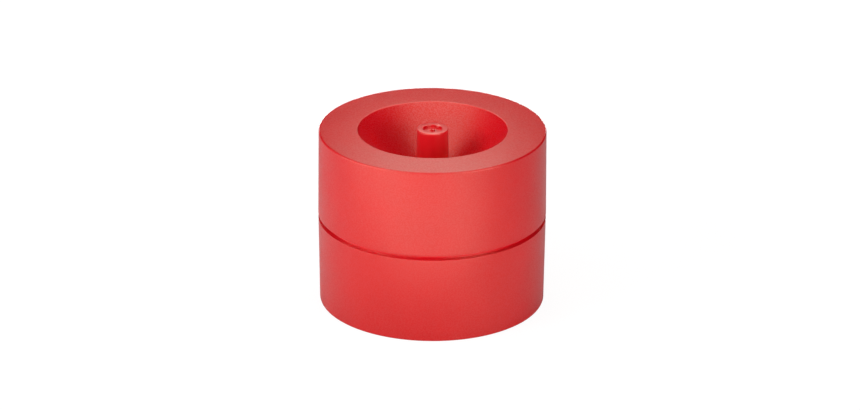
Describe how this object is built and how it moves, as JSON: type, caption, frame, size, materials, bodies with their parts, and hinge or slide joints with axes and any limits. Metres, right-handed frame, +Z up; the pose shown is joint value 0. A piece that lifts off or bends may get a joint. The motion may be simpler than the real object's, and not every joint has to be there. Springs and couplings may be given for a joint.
{
  "type": "magnetic paper clip dispenser",
  "caption": "Round desk drum in moulded plastic with a dished top and a magnetic post that holds paper clips; the upper half lifts off an open storage cup.",
  "frame": {"origin": "centre of the foot ring, on the surface that the drum stands on", "axes": "+Z up along the drum's axis; the drum is round, so +X and +Y are free, and -Y is the side towards the viewer of the picture"},
  "size_m": [0.073, 0.073, 0.058],
  "materials": {
    "red_grained_plastic": "fine matt spark-eroded grain, red through and through",
    "red_smooth_plastic": "smooth satin, the same red",
    "plated_magnet": "bright plated metal",
    "black_plastic": "plain matt black"
  },
  "bodies": {
    "base": {"lower_cup": "red_grained_plastic"},
    "upper": {"upper_shell": "red_grained_plastic", "magnet_post": "red_smooth_plastic", "magnet": "plated_magnet", "magnet_plug": "black_plastic"}
  },
  "joints": [
    {"name": "upper_lift", "type": "slide", "parent": "base", "child": "upper", "axis": [0, 0, 1], "range_m": [0, 0.06]}
  ]
}
